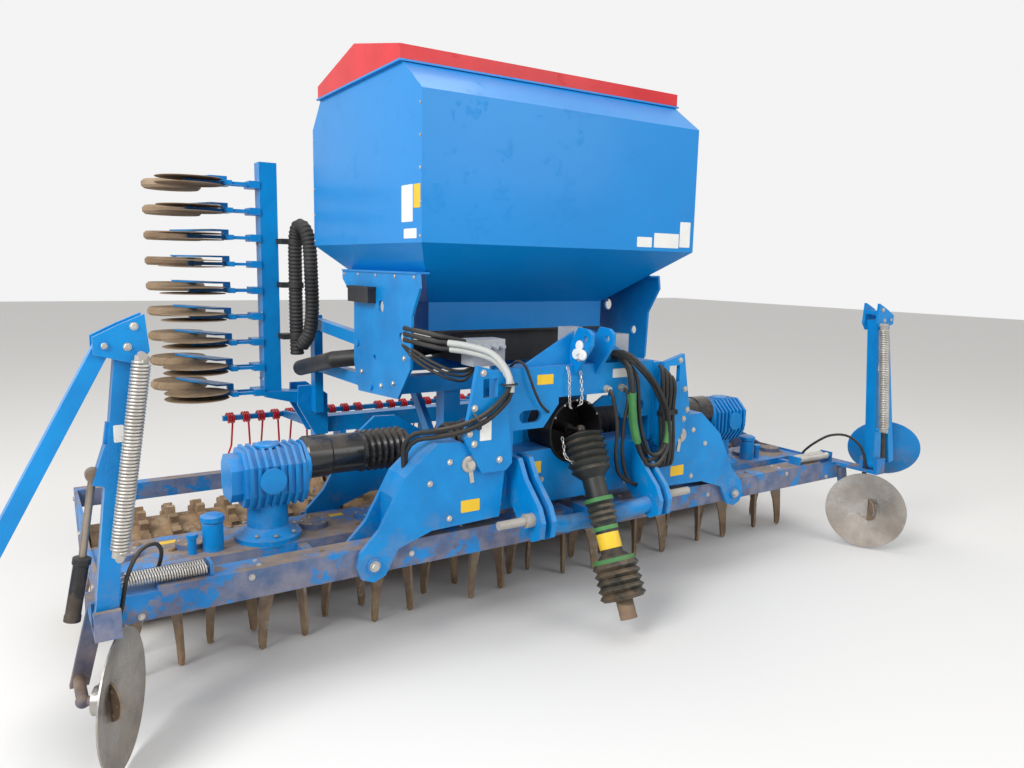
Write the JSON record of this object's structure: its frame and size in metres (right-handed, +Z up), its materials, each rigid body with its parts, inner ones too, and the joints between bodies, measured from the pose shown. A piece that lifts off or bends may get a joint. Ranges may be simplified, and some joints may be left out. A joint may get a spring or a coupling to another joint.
{
  "type": "folding power harrow with pneumatic seed drill",
  "caption": "Tractor-mounted folding power harrow with tined rotors, packer rollers, a gabled seed hopper and disc coulters on folding rails.",
  "frame": {"origin": "midpoint of the two lower link pins on their common axis", "axes": "+X to the side along the lower link pins, +Y to the rear, +Z up"},
  "size_m": [4.9685, 2.9522, 2.594],
  "materials": {
    "blue": "satin",
    "blue_worn": "satin, worn",
    "red": "satin",
    "black_plastic": "matt",
    "black_rubber": "matt",
    "bare_steel": "worn",
    "soiled_steel": "caked with dry soil",
    "grey_box": "satin"
  },
  "bodies": {
    "root": {"headstock": "blue", "hinge_frame": "blue_worn", "draft_tube": "blue_worn", "centre_gearbox": "blue", "drive_guards": "black_plastic", "hopper": "blue", "hopper_stand": "blue", "meter_unit": "black_plastic", "fan": "blue", "control_boxes": "grey_box", "hose_set": "black_rubber", "coulter_frame": "blue", "coulters_centre": "blue"},
    "hopper_lid": {"hopper_lid": "red"},
    "pto_shaft": {"pto_shaft": "black_plastic"},
    "discs_centre": {"discs_centre": "soiled_steel"},
    "press_wheels_centre": {"press_wheels_centre": "soiled_steel"},
    "wing_left": {"wing_frame_left": "blue_worn", "trough_left": "blue_worn", "wing_gearbox_left": "blue"},
    "roller_left": {"roller_left": "soiled_steel"},
    "rail_left": {"rail_left": "blue", "coulters_left": "blue", "seed_hoses_left": "black_rubber"},
    "discs_left": {"discs_left": "soiled_steel"},
    "press_wheels_left": {"press_wheels_left": "soiled_steel"},
    "marker_arm_left": {"marker_arm_left": "blue"},
    "marker_outer_left": {"marker_outer_left": "blue"},
    "marker_disc_left": {"marker_disc_left": "blue"},
    "boundary_disc_left": {"boundary_disc_left": "bare_steel"},
    "rotor_left_1": {"rotor_left_1": "soiled_steel"},
    "rotor_left_2": {"rotor_left_2": "soiled_steel"},
    "rotor_left_3": {"rotor_left_3": "soiled_steel"},
    "rotor_left_4": {"rotor_left_4": "soiled_steel"},
    "rotor_left_5": {"rotor_left_5": "soiled_steel"},
    "rotor_left_6": {"rotor_left_6": "soiled_steel"},
    "rotor_left_7": {"rotor_left_7": "soiled_steel"},
    "rotor_left_8": {"rotor_left_8": "soiled_steel"},
    "wing_right": {"wing_frame_right": "blue_worn", "trough_right": "blue_worn", "wing_gearbox_right": "blue"},
    "roller_right": {"roller_right": "soiled_steel"},
    "rail_right": {"rail_right": "blue", "coulters_right": "blue", "seed_hoses_right": "black_rubber"},
    "discs_right": {"discs_right": "soiled_steel"},
    "press_wheels_right": {"press_wheels_right": "soiled_steel"},
    "marker_arm_right": {"marker_arm_right": "blue"},
    "marker_outer_right": {"marker_outer_right": "blue"},
    "marker_disc_right": {"marker_disc_right": "blue"},
    "boundary_disc_right": {"boundary_disc_right": "bare_steel"},
    "rotor_right_1": {"rotor_right_1": "soiled_steel"},
    "rotor_right_2": {"rotor_right_2": "soiled_steel"},
    "rotor_right_3": {"rotor_right_3": "soiled_steel"},
    "rotor_right_4": {"rotor_right_4": "soiled_steel"},
    "rotor_right_5": {"rotor_right_5": "soiled_steel"},
    "rotor_right_6": {"rotor_right_6": "soiled_steel"},
    "rotor_right_7": {"rotor_right_7": "soiled_steel"},
    "rotor_right_8": {"rotor_right_8": "soiled_steel"}
  },
  "joints": [
    {"name": "lid_hinge", "type": "hinge", "parent": "root", "child": "hopper_lid", "pos_m": [0, 0.448, 1.8903], "axis": [1, 0, 0], "range_deg": [0, 85]},
    {"name": "pto_swing", "type": "hinge", "parent": "root", "child": "pto_shaft", "pos_m": [0, 0.164, 0.322], "axis": [-1, 0, 0], "range_deg": [0, 60]},
    {"name": "discs_centre_turn", "type": "hinge", "parent": "root", "child": "discs_centre", "pos_m": [0, 2.07, -0.361], "axis": [1, 0, 0], "continuous": true},
    {"name": "press_wheels_centre_turn", "type": "hinge", "parent": "root", "child": "press_wheels_centre", "pos_m": [0, 2.52, -0.375], "axis": [1, 0, 0], "continuous": true},
    {"name": "wing_fold_left", "type": "hinge", "parent": "root", "child": "wing_left", "pos_m": [-1.035, 0.27, -0.12], "axis": [0, 1, 0], "range_deg": [0, 90]},
    {"name": "roller_turn_left", "type": "hinge", "parent": "wing_left", "child": "roller_left", "pos_m": [-1, 1.08, -0.29], "axis": [1, 0, 0], "continuous": true},
    {"name": "rail_fold_left", "type": "hinge", "parent": "root", "child": "rail_left", "pos_m": [-0.7, 2.07, 0.24], "axis": [0, -1, 0], "range_deg": [0, 90]},
    {"name": "discs_turn_left", "type": "hinge", "parent": "rail_left", "child": "discs_left", "pos_m": [-1.301, 2.07, 0.86], "axis": [0, 0, 1], "continuous": true},
    {"name": "press_wheels_turn_left", "type": "hinge", "parent": "rail_left", "child": "press_wheels_left", "pos_m": [-1.315, 2.52, 0.86], "axis": [0, 0, 1], "continuous": true},
    {"name": "marker_fold_left", "type": "hinge", "parent": "wing_left", "child": "marker_arm_left", "pos_m": [-1.995, -0.05, -0.03], "axis": [0, -1, 0], "range_deg": [0, 92]},
    {"name": "marker_swing_left", "type": "hinge", "parent": "marker_arm_left", "child": "marker_outer_left", "pos_m": [-1.96, -0.055, 0.81], "axis": [0, 1, 0], "range_deg": [0, 152]},
    {"name": "marker_disc_turn_left", "type": "hinge", "parent": "marker_outer_left", "child": "marker_disc_left", "pos_m": [-2.41793, 0.015, 0.10213], "axis": [0.5819, -0.5025, -0.6395], "continuous": true},
    {"name": "boundary_disc_turn_left", "type": "hinge", "parent": "wing_left", "child": "boundary_disc_left", "pos_m": [-1.99, -0.04, -0.31], "axis": [0.9117, -0.4108, 0], "continuous": true},
    {"name": "rotor_left_1_turn", "type": "hinge", "parent": "wing_left", "child": "rotor_left_1", "pos_m": [-0.125, 0.59, -0.24], "axis": [0, 0, 1], "continuous": true},
    {"name": "rotor_left_2_turn", "type": "hinge", "parent": "wing_left", "child": "rotor_left_2", "pos_m": [-0.375, 0.59, -0.24], "axis": [0, 0, 1], "continuous": true},
    {"name": "rotor_left_3_turn", "type": "hinge", "parent": "wing_left", "child": "rotor_left_3", "pos_m": [-0.625, 0.59, -0.24], "axis": [0, 0, 1], "continuous": true},
    {"name": "rotor_left_4_turn", "type": "hinge", "parent": "wing_left", "child": "rotor_left_4", "pos_m": [-0.875, 0.59, -0.24], "axis": [0, 0, 1], "continuous": true},
    {"name": "rotor_left_5_turn", "type": "hinge", "parent": "wing_left", "child": "rotor_left_5", "pos_m": [-1.125, 0.59, -0.24], "axis": [0, 0, 1], "continuous": true},
    {"name": "rotor_left_6_turn", "type": "hinge", "parent": "wing_left", "child": "rotor_left_6", "pos_m": [-1.375, 0.59, -0.24], "axis": [0, 0, 1], "continuous": true},
    {"name": "rotor_left_7_turn", "type": "hinge", "parent": "wing_left", "child": "rotor_left_7", "pos_m": [-1.625, 0.59, -0.24], "axis": [0, 0, 1], "continuous": true},
    {"name": "rotor_left_8_turn", "type": "hinge", "parent": "wing_left", "child": "rotor_left_8", "pos_m": [-1.875, 0.59, -0.24], "axis": [0, 0, 1], "continuous": true},
    {"name": "wing_fold_right", "type": "hinge", "parent": "root", "child": "wing_right", "pos_m": [1.035, 0.27, -0.12], "axis": [0, -1, 0], "range_deg": [0, 90]},
    {"name": "roller_turn_right", "type": "hinge", "parent": "wing_right", "child": "roller_right", "pos_m": [1, 1.08, -0.29], "axis": [1, 0, 0], "continuous": true},
    {"name": "rail_fold_right", "type": "hinge", "parent": "root", "child": "rail_right", "pos_m": [0.7, 2.07, 0.24], "axis": [0, 1, 0], "range_deg": [0, 90]},
    {"name": "discs_turn_right", "type": "hinge", "parent": "rail_right", "child": "discs_right", "pos_m": [1.301, 2.07, 0.86], "axis": [0, 0, 1], "continuous": true},
    {"name": "press_wheels_turn_right", "type": "hinge", "parent": "rail_right", "child": "press_wheels_right", "pos_m": [1.315, 2.52, 0.86], "axis": [0, 0, 1], "continuous": true},
    {"name": "marker_fold_right", "type": "hinge", "parent": "wing_right", "child": "marker_arm_right", "pos_m": [1.995, -0.05, -0.03], "axis": [0, 1, 0], "range_deg": [0, 92]},
    {"name": "marker_swing_right", "type": "hinge", "parent": "marker_arm_right", "child": "marker_outer_right", "pos_m": [1.96, -0.055, 0.81], "axis": [0, -1, 0], "range_deg": [0, 168]},
    {"name": "marker_disc_turn_right", "type": "hinge", "parent": "marker_outer_right", "child": "marker_disc_right", "pos_m": [2.20507, 0.015, 0.00333], "axis": [-0.7356, -0.5025, -0.4543], "continuous": true},
    {"name": "boundary_disc_turn_right", "type": "hinge", "parent": "wing_right", "child": "boundary_disc_right", "pos_m": [1.99, -0.04, -0.31], "axis": [-0.9117, -0.4108, 0], "continuous": true},
    {"name": "rotor_right_1_turn", "type": "hinge", "parent": "wing_right", "child": "rotor_right_1", "pos_m": [0.125, 0.59, -0.24], "axis": [0, 0, 1], "continuous": true},
    {"name": "rotor_right_2_turn", "type": "hinge", "parent": "wing_right", "child": "rotor_right_2", "pos_m": [0.375, 0.59, -0.24], "axis": [0, 0, 1], "continuous": true},
    {"name": "rotor_right_3_turn", "type": "hinge", "parent": "wing_right", "child": "rotor_right_3", "pos_m": [0.625, 0.59, -0.24], "axis": [0, 0, 1], "continuous": true},
    {"name": "rotor_right_4_turn", "type": "hinge", "parent": "wing_right", "child": "rotor_right_4", "pos_m": [0.875, 0.59, -0.24], "axis": [0, 0, 1], "continuous": true},
    {"name": "rotor_right_5_turn", "type": "hinge", "parent": "wing_right", "child": "rotor_right_5", "pos_m": [1.125, 0.59, -0.24], "axis": [0, 0, 1], "continuous": true},
    {"name": "rotor_right_6_turn", "type": "hinge", "parent": "wing_right", "child": "rotor_right_6", "pos_m": [1.375, 0.59, -0.24], "axis": [0, 0, 1], "continuous": true},
    {"name": "rotor_right_7_turn", "type": "hinge", "parent": "wing_right", "child": "rotor_right_7", "pos_m": [1.625, 0.59, -0.24], "axis": [0, 0, 1], "continuous": true},
    {"name": "rotor_right_8_turn", "type": "hinge", "parent": "wing_right", "child": "rotor_right_8", "pos_m": [1.875, 0.59, -0.24], "axis": [0, 0, 1], "continuous": true}
  ],
  "couplings": [
    {"joint": "marker_swing_left", "follows": "marker_fold_left", "ratio": 1.6522},
    {"joint": "rotor_left_2_turn", "follows": "rotor_left_1_turn", "ratio": -1},
    {"joint": "rotor_left_3_turn", "follows": "rotor_left_1_turn", "ratio": 1},
    {"joint": "rotor_left_4_turn", "follows": "rotor_left_1_turn", "ratio": -1},
    {"joint": "rotor_left_5_turn", "follows": "rotor_left_1_turn", "ratio": 1},
    {"joint": "rotor_left_6_turn", "follows": "rotor_left_1_turn", "ratio": -1},
    {"joint": "rotor_left_7_turn", "follows": "rotor_left_1_turn", "ratio": 1},
    {"joint": "rotor_left_8_turn", "follows": "rotor_left_1_turn", "ratio": -1},
    {"joint": "marker_swing_right", "follows": "marker_fold_right", "ratio": 1.8261},
    {"joint": "rotor_right_2_turn", "follows": "rotor_right_1_turn", "ratio": -1},
    {"joint": "rotor_right_3_turn", "follows": "rotor_right_1_turn", "ratio": 1},
    {"joint": "rotor_right_4_turn", "follows": "rotor_right_1_turn", "ratio": -1},
    {"joint": "rotor_right_5_turn", "follows": "rotor_right_1_turn", "ratio": 1},
    {"joint": "rotor_right_6_turn", "follows": "rotor_right_1_turn", "ratio": -1},
    {"joint": "rotor_right_7_turn", "follows": "rotor_right_1_turn", "ratio": 1},
    {"joint": "rotor_right_8_turn", "follows": "rotor_right_1_turn", "ratio": -1}
  ]
}
